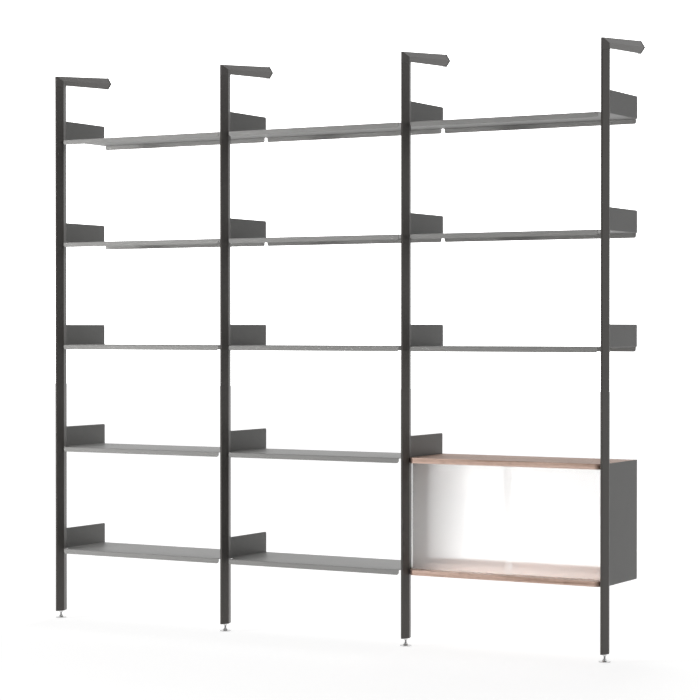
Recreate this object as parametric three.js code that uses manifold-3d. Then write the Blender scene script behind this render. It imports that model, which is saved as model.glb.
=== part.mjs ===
// Wall-held shelving in three bays: uprights on levelling feet, arms to the wall, folded steel
// shelves that hook into the uprights, and one walnut cabinet with two sliding glass doors.
// Millimetres, +Z up. The origin is on the wall, at floor level, in the middle of the width,
// and the front faces -Y. Inside the unit, y counts back from the front of the uprights.
import * as THREE from 'three';
import { mergeVertices } from 'three/addons/utils/BufferGeometryUtils.js';
import Module from 'manifold-3d';

const wasm = await Module();
wasm.setup();

// Layout
const bayCount = 3;
const bayPitch = 800;
const reach = 358;
const floorGap = 30;
const firstLevel = 283;
const notchPitch = 59.5;
const notchesPerLevel = 7;
const levelPitch = notchPitch * notchesPerLevel;
const cabinetBay = 3;
const cabinetLevels = 2;

// Fits and folds
const seatGap = 0.3;
const overrun = 6;
const sheet = 2;
const bendRadius = 3.5;
const tightBend = 2.5;
const bendSteps = 3;
const roundSteps = 6;
const lap = 5;

// Uprights: a hollow six-sided section with a slot down the back
const uprightLength = 2135;
const uprightDepth = 64;
const uprightWidth = 33.5;
const ridgeDepth = 30;
const frontFlat = 7.5;
const uprightWall = 2.5;
const rearLip = 1.7;
const plateGap = 0.8;
const hookPlay = 0.4;
const slotWidth = plateGap + 2 * sheet + 2 * hookPlay;
const rearFlat = slotWidth + 2 * rearLip;
const seamHeight = floorGap + uprightLength;

// Hooks on the shelf ends, and the slotted strip that carries them
const stripDepth = 48;
const stripThickness = 2.5;
const stripMargin = 4;
const hookHeight = 13;
const hookDrop = 6;
const hookThickness = 4;
const hookClear = 0.5;
const hookEntry = 3;
const hookRise = hookDrop + bendRadius - sheet + hookClear;
const notchHeight = hookHeight + hookDrop + hookEntry;
const plateStandoff = 2;
const plateFront = uprightDepth + plateStandoff;

// Elbow arms
const spigotLength = 60;
const elbowOuterRise = 42.5;
const elbowRidgeRise = 25;
const elbowInnerRise = 10.5;
const armTopRise = 70;
const armRidgeRise = 44.7;
const armBottomRise = 23.2;
const armWidth = 35.7;
const armFlat = 5;
const armWall = 4;
const pocketDepth = 22;

// Wall plates
const wallPlateThickness = 5;
const wallPlateEdge = 0.8;
const wallScrewRadius = 2.6;
const wallScrewHeadRadius = 5;
const bossLength = 20;

// Levelling feet
const footDepth = 31;
const socketHeight = 25;
const stemRadius = 4;
const stemHeight = 62;
const padRadius = 22;
const padRim = 3.4;
const padEdge = 0.8;
const padHubRadius = 7;
const padHubHeight = 12;
const padFloor = 4;
const padShoulder = 7;
const nutHeight = 6.5;
const nutRadius = 7.5;

// Shelves
const shelfFront = 19.7;
const shelfRear = 333.4;
const lipHeight = 19.3;
const frontLipInset = 24;
const rearLipInset = 6;
const frontLipCorner = 10;
const rearLipCorner = 8;
const plateHeight = 81.3;
const plateCorner = 6;

// Cabinet
const panelThickness = 20;
const panelLift = 2.5;
const panelFront = 24;
const panelInset = 11.5;
const panelCorner = 28;
const panelArris = 1;
const flangeWidth = 14;
const railHeight = 17;
const railThickness = 12;

// Sliding doors
const glass = 4;
const frontTrack = 74;
const trackPitch = 10;
const lowerGrooveWidth = 7;
const lowerGrooveDepth = 5;
const upperGrooveWidth = 5;
const upperGrooveDepth = 10;
const doorEntry = 4;
const doorEndGap = 1.4;
const doorOverlap = 33;
const glideFloor = 1.5;
const pullWidth = 5.1;
const pullWall = 1;

// Sizes that follow from those above; there are as many levels as the uprights have room for
const stripTop = seamHeight - spigotLength;
const topLevelLimit = stripTop - stripMargin - plateHeight;
const levelCount = 1 + Math.floor((topLevelLimit - firstLevel) / levelPitch);
const halfGap = plateGap / 2;
const sideFace = halfGap + sheet;
const stripRear = stripDepth + stripThickness;
const sideRear = shelfRear;
const panelRear = sideRear - sheet - seatGap;
const lowerTop = firstLevel + panelLift;
const upperTop = lowerTop + (cabinetLevels - 1) * levelPitch;
const cabinetBottom = lowerTop - panelThickness;
const cabinetCeiling = upperTop - panelThickness;
const doorRun = bayPitch - 2 * sideFace - 2 * doorEndGap;
const doorWidth = (doorRun + doorOverlap) / 2;
const doorStart = sideFace + doorEndGap;
const armEnd = reach - wallPlateThickness - seatGap;

const metal = (color, roughness) =>
  new THREE.MeshStandardMaterial({ color, roughness, metalness: 0.4 });
const finish = {
  upright: metal(0x4b4946, 0.55),
  arm: metal(0x6e6c69, 0.5),
  shelf: metal(0x6f6e6b, 0.6),
  steel: new THREE.MeshStandardMaterial({ color: 0xb4b4b2, roughness: 0.35, metalness: 1 }),
  walnut: new THREE.MeshStandardMaterial({ color: 0xa98672, roughness: 0.6, metalness: 0 }),
  glass: new THREE.MeshStandardMaterial({
    color: 0xf4f6f5, roughness: 0.5, metalness: 0, transparent: true, opacity: 0.5,
  }),
  nylon: new THREE.MeshStandardMaterial({ color: 0xd9d9d6, roughness: 0.5, metalness: 0 }),
};

// Solids: closed geometries joined and cut
function solid(geometry) {
  const bare = geometry.clone();
  bare.deleteAttribute('normal');
  bare.deleteAttribute('uv');
  const merged = mergeVertices(bare);
  return new wasm.Manifold(new wasm.Mesh({
    numProp: 3,
    vertProperties: new Float32Array(merged.attributes.position.array),
    triVerts: new Uint32Array(merged.index.array),
  }));
}

function geometryOf(body) {
  const mesh = body.getMesh();
  const geometry = new THREE.BufferGeometry();
  geometry.setAttribute('position', new THREE.BufferAttribute(mesh.vertProperties, 3));
  geometry.setIndex(new THREE.BufferAttribute(mesh.triVerts, 1));
  geometry.computeVertexNormals();
  return geometry;
}

const join = (...bodies) => bodies.reduce((whole, body) => whole.add(body));
const cut = (whole, ...tools) => tools.reduce((rest, tool) => rest.subtract(tool), whole);

// Outlines are lists of [u, v] points: x, y for a run along z; x, z for y; y, z for x
const axesOf = {
  x: [[0, 1, 0], [0, 0, 1], [1, 0, 0]],
  y: [[1, 0, 0], [0, 0, 1], [0, -1, 0]],
  z: [[1, 0, 0], [0, 1, 0], [0, 0, 1]],
};

function prismGeometry(axis, outline, from, to, bevel = 0) {
  const shape = new THREE.Shape(outline.map(([u, v]) => new THREE.Vector2(u, v)));
  const geometry = new THREE.ExtrudeGeometry(shape, {
    depth: to - from - 2 * bevel,
    bevelEnabled: bevel > 0,
    bevelSize: bevel,
    bevelThickness: bevel,
    bevelOffset: -bevel,
    bevelSegments: 2,
  });
  geometry.translate(0, 0, bevel);
  const frame = new THREE.Matrix4().makeBasis(...axesOf[axis].map((a) => new THREE.Vector3(...a)));
  geometry.applyMatrix4(frame);
  const start = { x: [from, 0, 0], y: [0, to, 0], z: [0, 0, from] }[axis];
  return geometry.translate(...start);
}

const prism = (...options) => solid(prismGeometry(...options));

function box(low, high) {
  const corners = [[low[0], low[1]], [high[0], low[1]], [high[0], high[1]], [low[0], high[1]]];
  return prism('z', corners, low[2], high[2]);
}

function circle(u, v, radius, steps = 16) {
  return Array.from({ length: steps }, (_, i) => {
    const turn = (i / steps) * 2 * Math.PI;
    return [u + radius * Math.cos(turn), v + radius * Math.sin(turn)];
  });
}

// A quarter turn round a centre, from the u side to the v side; the signs choose the quadrant
function quarter(u, v, radius, signU, signV, steps = roundSteps) {
  return Array.from({ length: steps + 1 }, (_, i) => {
    const turn = (i / steps) * (Math.PI / 2);
    return [u + signU * radius * Math.cos(turn), v + signV * radius * Math.sin(turn)];
  });
}

// Moves every side of a convex, anticlockwise outline inwards by one distance
function inset(outline, distance) {
  const points = outline.map(([u, v]) => new THREE.Vector2(u, v));
  const inward = (a, b) => new THREE.Vector2(a.y - b.y, b.x - a.x).normalize();
  return points.map((corner, i) => {
    const before = inward(points.at(i - 1), corner);
    const after = inward(corner, points[(i + 1) % points.length]);
    const scale = distance / (1 + before.dot(after));
    const moved = corner.clone().addScaledVector(before.add(after), scale);
    return [moved.x, moved.y];
  });
}

// A folded angle: legs run from the outer corner along the signs' directions
function angleOutline([u, v], [legU, legV], [signU, signV], radius = bendRadius) {
  const outerBend = quarter(radius, radius, radius, -1, -1, bendSteps).reverse();
  const innerBend = quarter(radius, radius, radius - sheet, -1, -1, bendSteps);
  const points = [[legU, 0], ...outerBend, [0, legV], [sheet, legV], ...innerBend, [legU, sheet]];
  return points.map(([a, b]) => [u + signU * a, v + signV * b]);
}

// Joins rings of points, each listed anticlockwise seen from the far end, into a closed body
function loft(rings) {
  const sides = rings[0].length;
  const last = (rings.length - 1) * sides;
  const faces = [];
  for (let ring = 0; ring < last; ring += sides) {
    for (let side = 0; side < sides; side++) {
      const a = ring + side;
      const b = ring + ((side + 1) % sides);
      faces.push(a, b, b + sides, a, b + sides, a + sides);
    }
  }
  for (let side = 1; side + 1 < sides; side++) {
    faces.push(0, side + 1, side, last, last + side, last + side + 1);
  }
  const geometry = new THREE.BufferGeometry();
  geometry.setAttribute('position', new THREE.Float32BufferAttribute(rings.flat(2), 3));
  geometry.setIndex(faces);
  geometry.computeVertexNormals();
  return geometry;
}

// The six-sided section of the uprights, x by y
const section = [
  [-frontFlat / 2, 0], [frontFlat / 2, 0],
  [uprightWidth / 2, ridgeDepth],
  [rearFlat / 2, uprightDepth], [-rearFlat / 2, uprightDepth],
  [-uprightWidth / 2, ridgeDepth],
];
const bore = inset(section, uprightWall);
const plug = inset(section, uprightWall + seatGap);

// Half the width of an outline at one depth behind its ridge
function halfWidthAt(outline, depth) {
  const [ridge, rear] = [outline[2], outline[3]];
  const share = (depth - ridge[1]) / (rear[1] - ridge[1]);
  return ridge[0] + share * (rear[0] - ridge[0]);
}

function upright() {
  const slot = [
    [-slotWidth / 2, stripDepth], [slotWidth / 2, stripDepth],
    [slotWidth / 2, uprightDepth + overrun], [-slotWidth / 2, uprightDepth + overrun],
  ];
  const [low, high] = [floorGap - overrun, seamHeight + overrun];
  const body = prism('z', section, floorGap, seamHeight);
  return geometryOf(cut(body, prism('z', bore, low, high), prism('z', slot, low, high)));
}

// Heights of the strip's notches, in step with the hooks of every level
function notchHeights(low, high) {
  const first = firstLevel + hookRise - seatGap;
  const below = Math.floor((first - low - stripMargin) / notchPitch);
  const heights = [];
  for (let z = first - below * notchPitch; z + notchHeight < high - stripMargin; z += notchPitch) {
    heights.push(z);
  }
  return heights;
}

function hangerStrip() {
  const low = floorGap + socketHeight + seatGap;
  const high = stripTop;
  const half = halfWidthAt(bore, stripRear) - seatGap;
  const rectangle = (width, bottom, top) => [
    new THREE.Vector2(-width, bottom), new THREE.Vector2(width, bottom),
    new THREE.Vector2(width, top), new THREE.Vector2(-width, top),
  ];
  const shape = new THREE.Shape(rectangle(half, low, high));
  for (const z of notchHeights(low, high)) {
    shape.holes.push(new THREE.Path(rectangle(slotWidth / 2, z, z + notchHeight)));
  }
  const geometry = new THREE.ExtrudeGeometry(shape, { depth: stripThickness, bevelEnabled: false });
  return geometry.rotateX(Math.PI / 2).translate(0, stripRear, 0);
}

// The arm's outline where it meets the wall plate, x by z
const armOutline = [
  [-armFlat / 2, seamHeight + armBottomRise], [armFlat / 2, seamHeight + armBottomRise],
  [armWidth / 2, seamHeight + armRidgeRise],
  [armFlat / 2, seamHeight + armTopRise], [-armFlat / 2, seamHeight + armTopRise],
  [-armWidth / 2, seamHeight + armRidgeRise],
];

function elbowArm() {
  const seam = seamHeight + seatGap;
  const rises = [elbowOuterRise, elbowOuterRise, elbowRidgeRise, elbowInnerRise, elbowInnerRise,
    elbowRidgeRise];
  const collar = section.map(([x, y]) => [x, y, seam]);
  const mitre = section.map(([x, y], i) => [x, y, seamHeight + rises[i]]);
  const [lowLeft, lowRight, right, topRight, topLeft, left] = armOutline;
  const end = [topLeft, topRight, right, lowRight, lowLeft, left].map(([x, z]) => [x, armEnd, z]);
  const spigot = prism('z', plug, seam - spigotLength, seam + overrun);
  const pocket = prism('y', inset(armOutline, armWall), armEnd - pocketDepth, armEnd + overrun);
  return geometryOf(cut(join(solid(loft([collar, mitre, end])), spigot), pocket));
}

function wallPlate() {
  const outline = inset(armOutline, -wallPlateEdge);
  const middle = seamHeight + armRidgeRise;
  const face = reach - wallPlateThickness;
  const plate = prism('y', outline, face, reach);
  const boss = prism('y', inset(armOutline, armWall + seatGap), face - bossLength,
    face + wallPlateThickness / 2);
  const hole = prism('y', circle(0, middle, wallScrewRadius), face - bossLength - overrun,
    reach + overrun);
  const recess = prism('y', circle(0, middle, wallScrewHeadRadius), face - bossLength - overrun,
    face);
  return geometryOf(cut(join(plate, boss), hole, recess));
}

function footSocket() {
  const block = prism('z', plug, floorGap, floorGap + socketHeight);
  const hole = prism('z', circle(0, footDepth, stemRadius + seatGap),
    floorGap - overrun, floorGap + socketHeight + overrun);
  return geometryOf(cut(block, hole));
}

function footStem() {
  const profile = [
    [0, padFloor + seatGap], [stemRadius, padFloor + seatGap],
    [stemRadius, stemHeight - padEdge], [stemRadius - padEdge, stemHeight], [0, stemHeight],
  ];
  return turned(profile, 16);
}

function footPad() {
  const centre = [padHubRadius + padShoulder, padHubHeight - padEdge];
  const sweep = quarter(...centre, padShoulder, -1, -1, bendSteps);
  const profile = [
    [0, 0], [padRadius - padEdge, 0], [padRadius, padEdge], [padRadius, padRim],
    [padRadius - padEdge, padFloor],
    ...sweep.reverse(),
    [padHubRadius - padEdge, padHubHeight],
    [stemRadius + seatGap, padHubHeight], [stemRadius + seatGap, padFloor], [0, padFloor],
  ];
  return turned(profile, 20);
}

// A body turned round the foot's own axis
function turned(profile, steps) {
  const points = profile.map(([radius, z]) => new THREE.Vector2(radius, z));
  const geometry = new THREE.LatheGeometry(points, steps);
  return geometry.rotateX(Math.PI / 2).translate(0, footDepth, 0);
}

function lockNut() {
  const top = floorGap - seatGap;
  const body = prism('z', circle(0, footDepth, nutRadius, 6), top - nutHeight, top);
  const hole = prism('z', circle(0, footDepth, stemRadius + seatGap),
    top - nutHeight - overrun, top + overrun);
  return geometryOf(cut(body, hole));
}

// Hook points down the front edge of an end plate, for a hook whose underside is at one height
function hookPoints(underside) {
  const back = stripDepth - seatGap;
  const front = back - hookThickness;
  const top = underside + hookHeight;
  const tip = underside - hookDrop;
  return [
    [plateFront, top], [front, top], [front, tip], [back, tip], [back, underside],
    [plateFront, underside],
  ];
}

// An end plate's outline, y by z, rounded at its top rear corner, with hooks down its front
function plateOutline(low, high, rear, corner, undersides) {
  return [
    [plateFront, low], [rear, low],
    ...quarter(rear - corner, high - corner, corner, 1, 1),
    [plateFront, high],
    ...undersides.toReversed().flatMap(hookPoints),
  ];
}

// A lip's outline, x by z, with its two lower corners rounded
function lipOutline(from, to, corner) {
  const low = -lipHeight + corner;
  return [
    [from, overrun],
    ...quarter(from + corner, low, corner, -1, -1),
    ...quarter(to - corner, low, corner, 1, -1).reverse(),
    [to, overrun],
  ];
}

function lip(face, inward, sideInset, corner) {
  const legs = [bendRadius + lap, lipHeight];
  const [from, to] = [sideInset, bayPitch - sideInset];
  const fold = prism('x', angleOutline([face, 0], legs, [inward, -1]), from, to);
  const reachIn = inward * (bendRadius + lap + overrun);
  const [near, far] = [face - inward * overrun, face + reachIn].sort((a, b) => a - b);
  return fold.intersect(prism('y', lipOutline(from, to, corner), near, far));
}

function shelfEnd(corner, inward) {
  const rear = shelfRear - bendRadius;
  const legs = [bendRadius + lap, plateHeight + sheet];
  const fold = prism('y', angleOutline([corner, -sheet], legs, [inward, 1]),
    stripDepth - hookThickness - overrun, rear);
  const undersides = [hookRise, hookRise + notchPitch];
  const outline = plateOutline(-overrun, plateHeight, rear, plateCorner, undersides);
  const [near, far] = [corner - inward * overrun, corner + inward * bayPitch / 2];
  return fold.intersect(prism('x', outline, Math.min(near, far), Math.max(near, far)));
}

function shelf() {
  const front = shelfFront + bendRadius;
  const rear = shelfRear - bendRadius;
  const side = halfGap + bendRadius;
  const deck = prism('z', [
    [frontLipInset, front], [bayPitch - frontLipInset, front],
    [bayPitch - frontLipInset, plateFront], [bayPitch - side, plateFront],
    [bayPitch - side, rear], [side, rear],
    [side, plateFront], [frontLipInset, plateFront],
  ], -sheet, 0);
  return geometryOf(join(
    deck,
    lip(shelfFront, 1, frontLipInset, frontLipCorner),
    lip(shelfRear, -1, rearLipInset, rearLipCorner),
    shelfEnd(halfGap, 1),
    shelfEnd(bayPitch - halfGap, -1),
  ));
}

// A walnut panel's outline, x by y: round front corners that clear the uprights, then full width,
// and rear corners that clear the folds of the sides and leave room for the arris
function panelOutline() {
  const start = sideFace + seatGap;
  const turnY = panelFront + panelCorner;
  const rearCorner = bendRadius - sheet + panelArris;
  const rearY = panelRear - rearCorner;
  const left = quarter(panelInset + panelCorner, turnY, panelCorner, -1, -1);
  const right = quarter(bayPitch - panelInset - panelCorner, turnY, panelCorner, 1, -1).reverse();
  return [
    ...quarter(start + rearCorner, rearY, rearCorner, -1, 1, bendSteps).reverse(),
    [start, plateFront], [panelInset, plateFront],
    ...left, ...right,
    [bayPitch - panelInset, plateFront], [bayPitch - start, plateFront],
    ...quarter(bayPitch - start - rearCorner, rearY, rearCorner, 1, 1, bendSteps),
  ];
}

function grooves(width, low, high) {
  return [frontTrack, frontTrack + trackPitch].map((middle) =>
    box([-overrun, middle - width / 2, low], [bayPitch + overrun, middle + width / 2, high]));
}

function upperPanel() {
  const body = prism('z', panelOutline(), cabinetCeiling, upperTop, panelArris);
  const tracks = grooves(upperGrooveWidth, cabinetCeiling - overrun,
    cabinetCeiling + upperGrooveDepth);
  return geometryOf(cut(body, ...tracks));
}

function lowerPanel() {
  const body = prism('z', panelOutline(), cabinetBottom, lowerTop, panelArris);
  const tracks = grooves(lowerGrooveWidth, lowerTop - lowerGrooveDepth, lowerTop + overrun);
  const width = sideFace + flangeWidth + seatGap;
  const rebateTop = cabinetBottom + sheet + seatGap;
  const rebates = [[-overrun, width], [bayPitch - width, bayPitch + overrun]].map(([from, to]) =>
    box([from, plateFront - overrun, cabinetBottom - overrun],
      [to, panelRear + overrun, rebateTop]));
  return geometryOf(cut(body, ...tracks, ...rebates));
}

// A cabinet side: a plate folded in at its rear and bottom, with a ledge under the upper panel
function cabinetSide(corner, inward) {
  const reachIn = sheet + flangeWidth;
  const plan = angleOutline([corner, sideRear], [reachIn, sideRear - plateFront], [inward, -1]);
  const plate = prism('z', plan, cabinetBottom, upperTop);
  const ledgeTop = cabinetCeiling - seatGap;
  const legs = [reachIn, 2 * flangeWidth];
  const lower = angleOutline([corner, cabinetBottom], legs, [inward, 1], tightBend);
  const upper = angleOutline([corner, ledgeTop], legs, [inward, -1], tightBend);
  const behindDoors = frontTrack + trackPitch + lowerGrooveWidth;
  const lowerFlange = prism('y', lower, plateFront, sideRear - bendRadius);
  const ledge = prism('y', upper, behindDoors, sideRear - bendRadius);
  const trim = box([corner - tightBend, 0, cabinetBottom - overrun],
    [corner + tightBend, sideRear + overrun, cabinetBottom + tightBend]);
  const body = cut(plate, trim.subtract(lowerFlange));
  return geometryOf(join(body, lowerFlange, ledge, sideHooks(corner, inward)));
}

function sideHooks(corner, inward) {
  const first = firstLevel + hookRise;
  const pairs = [0, 1, notchesPerLevel - 2, notchesPerLevel - 1];
  const [near, far] = [corner, corner + inward * sheet].sort((a, b) => a - b);
  return join(...pairs.map((step) => {
    const [topRear, ...rest] = hookPoints(first + step * notchPitch);
    const inside = ([, z]) => [plateFront + lap, z];
    return prism('x', [inside(topRear), ...rest, inside(rest.at(-1))], near, far);
  }));
}

function rearRail() {
  const start = sideFace + flangeWidth + seatGap;
  const low = lowerTop + seatGap;
  const outline = [
    [start, panelRear - railThickness], [bayPitch - start, panelRear - railThickness],
    [bayPitch - start, panelRear], [start, panelRear],
  ];
  return prismGeometry('z', outline, low, low + railHeight, panelArris);
}

// The doors: the left one runs in the front groove, the right one in the rear groove
const glideLow = lowerTop - lowerGrooveDepth + seatGap;
const glassLow = glideLow + glideFloor + seatGap;
const glassStart = pullWall + seatGap;

function doorGlass(track) {
  const outline = [
    [glassStart, glassLow], [doorWidth, glassLow],
    [doorWidth, cabinetCeiling + doorEntry], [glassStart, cabinetCeiling + doorEntry],
  ];
  return prismGeometry('y', outline, track - glass / 2, track + glass / 2);
}

// A channel section, open towards +v, that holds the glass with a small gap
function channel(middle, half, floor, wall, height) {
  return [
    [middle - half, floor], [middle + half, floor], [middle + half, floor + height],
    [middle + half - wall, floor + height], [middle + half - wall, floor + wall],
    [middle - half + wall, floor + wall], [middle - half + wall, floor + height],
    [middle - half, floor + height],
  ];
}

function doorGlide(track) {
  const half = lowerGrooveWidth / 2 - seatGap;
  const inner = glass / 2 + seatGap;
  const height = lowerGrooveDepth - 2 * seatGap;
  const outer = box([glassStart, track - half, glideLow],
    [doorWidth, track + half, glideLow + height]);
  const inside = box([glassStart - overrun, track - inner, glideLow + glideFloor],
    [doorWidth + overrun, track + inner, glideLow + height + overrun]);
  return geometryOf(cut(outer, inside));
}

function doorPull(track) {
  const half = glass / 2 + seatGap + pullWall;
  const outline = channel(track, half, 0, pullWall, pullWidth).map(([y, x]) => [x, y]);
  return prismGeometry('z', outline, lowerTop + seatGap, cabinetCeiling - seatGap);
}

// Assembly
const part = (name, geometry, material) => {
  const mesh = new THREE.Mesh(geometry, material);
  mesh.name = name;
  return mesh;
};

const unit = new THREE.Group();
unit.position.set(-bayCount * bayPitch / 2, -reach, 0);

function addFrame(index, shapes) {
  const group = new THREE.Group();
  group.position.x = (index - 1) * bayPitch;
  for (const [name, geometry, material] of shapes) {
    group.add(part(`${name}_${index}`, geometry, material));
  }
  unit.add(group);
}

const frameShapes = [
  ['upright', upright(), finish.upright],
  ['hanger_strip', hangerStrip(), finish.steel],
  ['elbow_arm', elbowArm(), finish.arm],
  ['wall_plate', wallPlate(), finish.upright],
  ['foot_socket', footSocket(), finish.nylon],
  ['foot_stem', footStem(), finish.steel],
  ['foot_pad', footPad(), finish.steel],
  ['foot_lock_nut', lockNut(), finish.steel],
];
for (let index = 1; index <= bayCount + 1; index++) {
  addFrame(index, frameShapes);
}

const shelfGeometry = shelf();
for (let bay = 1; bay <= bayCount; bay++) {
  const lowest = bay === cabinetBay ? cabinetLevels + 1 : 1;
  for (let level = lowest; level <= levelCount; level++) {
    const mesh = part(`shelf_bay${bay}_level${level}`, shelfGeometry, finish.shelf);
    mesh.position.set((bay - 1) * bayPitch, 0, firstLevel + (level - 1) * levelPitch);
    unit.add(mesh);
  }
}

// The right door is the left one turned about the middle of the bay, one track further back
function addDoor(name, track, rightHand) {
  const shapes = [
    ['glass', doorGlass(track), finish.glass],
    ['glide', doorGlide(track), finish.nylon],
    ['pull', doorPull(track), finish.steel],
  ];
  const door = new THREE.Group();
  door.position.x = rightHand ? bayPitch - doorStart : doorStart;
  door.position.y = rightHand ? 2 * track : 0;
  door.rotation.z = rightHand ? Math.PI : 0;
  for (const [piece, geometry, material] of shapes) {
    door.add(part(`${name}_${piece}`, geometry, material));
  }
  return door;
}

const cabinet = new THREE.Group();
cabinet.position.x = (cabinetBay - 1) * bayPitch;
cabinet.add(
  part('cabinet_top_panel', upperPanel(), finish.walnut),
  part('cabinet_bottom_panel', lowerPanel(), finish.walnut),
  part('cabinet_left_side', cabinetSide(halfGap, 1), finish.shelf),
  part('cabinet_right_side', cabinetSide(bayPitch - halfGap, -1), finish.shelf),
  part('cabinet_rear_rail', rearRail(), finish.walnut),
  addDoor('door_left', frontTrack, false),
  addDoor('door_right', frontTrack + trackPitch, true),
);
unit.add(cabinet);

const shelving = new THREE.Group();
shelving.add(unit);

export default shelving;
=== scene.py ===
# %% [markdown]
# # Wall-held shelving with a glass-door cabinet
# The real object is a kit: hollow uprights on levelling feet, arms that reach back to the wall, folded
# steel shelves that hook into the uprights, and one walnut cabinet with two sliding glass doors.
# The measured model comes in first as a fixed frame. Its pieces could be shown as they are, but a
# folded edge or a thread needs more faces than a measured model has, so most pieces are made again
# here, in the same places, and each stands for the measured piece of its name.

# %% Load the frame
import math

import bmesh
import bpy
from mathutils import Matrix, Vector


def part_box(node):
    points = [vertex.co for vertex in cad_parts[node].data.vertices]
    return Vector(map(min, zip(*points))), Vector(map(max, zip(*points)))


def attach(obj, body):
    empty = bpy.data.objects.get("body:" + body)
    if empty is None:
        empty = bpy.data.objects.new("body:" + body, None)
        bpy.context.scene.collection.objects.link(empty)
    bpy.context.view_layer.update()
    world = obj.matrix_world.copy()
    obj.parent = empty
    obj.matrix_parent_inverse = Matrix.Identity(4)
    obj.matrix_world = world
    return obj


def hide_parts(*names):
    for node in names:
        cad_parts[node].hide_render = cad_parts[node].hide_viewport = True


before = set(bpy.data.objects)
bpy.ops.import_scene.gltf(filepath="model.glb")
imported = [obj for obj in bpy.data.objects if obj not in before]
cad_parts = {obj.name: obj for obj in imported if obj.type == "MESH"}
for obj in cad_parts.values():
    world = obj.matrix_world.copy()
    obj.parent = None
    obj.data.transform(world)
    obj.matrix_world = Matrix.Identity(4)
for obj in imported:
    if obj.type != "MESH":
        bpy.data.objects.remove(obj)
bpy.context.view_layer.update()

mm = 0.001

# %% [markdown]
# ## Camera
# The object was photographed from the right at about half its height, from some eight metres away.
# The place and the lens follow from the lines of the uprights and the shelves, which a small fit
# turned into one position, so nothing has to be matched by eye later.

# %% Camera
camera_data = bpy.data.cameras.new("camera")
camera_data.lens = 111.64
camera_data.sensor_width = 36
look_down, look_left = 0.57, 29.76
camera = bpy.data.objects.new("camera", camera_data)
camera.location = (4.2278, -7.4393, 1.1824)
camera.rotation_euler = (math.radians(90 - look_down), 0, math.radians(look_left))
bpy.context.scene.collection.objects.link(camera)
bpy.context.scene.camera = camera
print("camera at", tuple(camera.location))

# %% [markdown]
# ## Background and light
# The picture's background is white, and metal and glass have to mirror that white too. So the world
# is white to the camera and to mirrored and bent rays, and hardly a light at all: turning it up until
# a grey wall burns out would wash the paint away. Only mirrored rays that go forwards, into the room
# behind the camera, find it darker, as a studio is away from its white wall. The wall behind is a
# little more than white, which shows only through the doors: it shines round dark things there.
# The light comes from three large soft lamps. A low one at the front left makes the fronts light and
# leaves the right-hand sides dark, a higher one beside it adds some light to the top rows, and one
# behind the unit lies on the shelves.

# %% Helpers for shader nodes
def computed(tree, operation, first, second=0.0):
    node = tree.nodes.new("ShaderNodeMath")
    node.operation = operation
    for slot, value in zip(node.inputs, (first, second)):
        if isinstance(value, (int, float)):
            slot.default_value = value
        else:
            tree.links.new(value, slot)
    return node.outputs[0]


def rescaled(tree, value, source, result):
    node = tree.nodes.new("ShaderNodeMapRange")
    for slot, limit in zip(("From Min", "From Max", "To Min", "To Max"), (*source, *result)):
        node.inputs[slot].default_value = limit
    tree.links.new(value, node.inputs["Value"])
    return node.outputs["Result"]


def mixed_with(tree, factor, first, second):
    node = tree.nodes.new("ShaderNodeMixShader")
    tree.links.new(factor, node.inputs["Fac"])
    tree.links.new(first, node.inputs[1])
    tree.links.new(second, node.inputs[2])
    return node.outputs[0]


def seen_mirrored_or_bent(tree, ray):
    seen = computed(tree, "MAXIMUM", ray.outputs["Is Camera Ray"], ray.outputs["Is Glossy Ray"])
    return computed(tree, "MAXIMUM", seen, ray.outputs["Is Transmission Ray"])


print("helpers for shader nodes are ready")

# %% World
wall_strength = 2.6
room_strength = (0.35, 1.0)
room_from_front = (-0.8, 0.0)
fill_strength = 0.03
world = bpy.data.worlds.new("studio")
bpy.context.scene.world = world
world.use_nodes = True
tree = world.node_tree
nodes, links = tree.nodes, tree.links
nodes.clear()
ray = nodes.new("ShaderNodeLightPath")
direction = nodes.new("ShaderNodeTexCoord")
parts = nodes.new("ShaderNodeSeparateXYZ")
links.new(direction.outputs["Generated"], parts.inputs[0])
mirrored = nodes.new("ShaderNodeMix")
mirrored.inputs["A"].default_value = wall_strength
links.new(ray.outputs["Is Glossy Ray"], mirrored.inputs["Factor"])
links.new(rescaled(tree, parts.outputs["Y"], room_from_front, room_strength), mirrored.inputs["B"])
white = nodes.new("ShaderNodeBackground")
white.inputs["Color"].default_value = (1, 1, 1, 1)
links.new(mirrored.outputs["Result"], white.inputs["Strength"])
fill = nodes.new("ShaderNodeBackground")
fill.inputs["Color"].default_value = (1.0, 0.985, 0.965, 1)
fill.inputs["Strength"].default_value = fill_strength
world_output = nodes.new("ShaderNodeOutputWorld")
links.new(mixed_with(tree, seen_mirrored_or_bent(tree, ray), fill.outputs[0], white.outputs[0]),
          world_output.inputs["Surface"])
bpy.context.scene.view_settings.view_transform = "Standard"
print("world: white to the eye, fill light of", fill_strength)

# %% Lamps
def soft_lamp(name, place, target, size, power):
    lamp_data = bpy.data.lights.new(name, "AREA")
    lamp_data.shape = "DISK"
    lamp_data.size = size
    lamp_data.energy = power
    lamp = bpy.data.objects.new(name, lamp_data)
    lamp.location = place
    lamp.rotation_euler = (Vector(target) - Vector(place)).to_track_quat("-Z", "Y").to_euler()
    lamp.visible_camera = False
    lamp.visible_glossy = False
    bpy.context.scene.collection.objects.link(lamp)
    return lamp


unit_middle = (0.1, -0.2, 1.0)
lamps = [
    soft_lamp("low_lamp", (-6.4, -6.8, 0.8), unit_middle, 2.5, 745),
    soft_lamp("key_lamp", (-4.6, -4.9, 2.3), unit_middle, 2.3, 155),
    soft_lamp("back_lamp", (-0.8, 2.8, 3.6), unit_middle, 2.5, 106),
]
for lamp in lamps:
    print(lamp.name, lamp.data.energy, "W")

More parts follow.
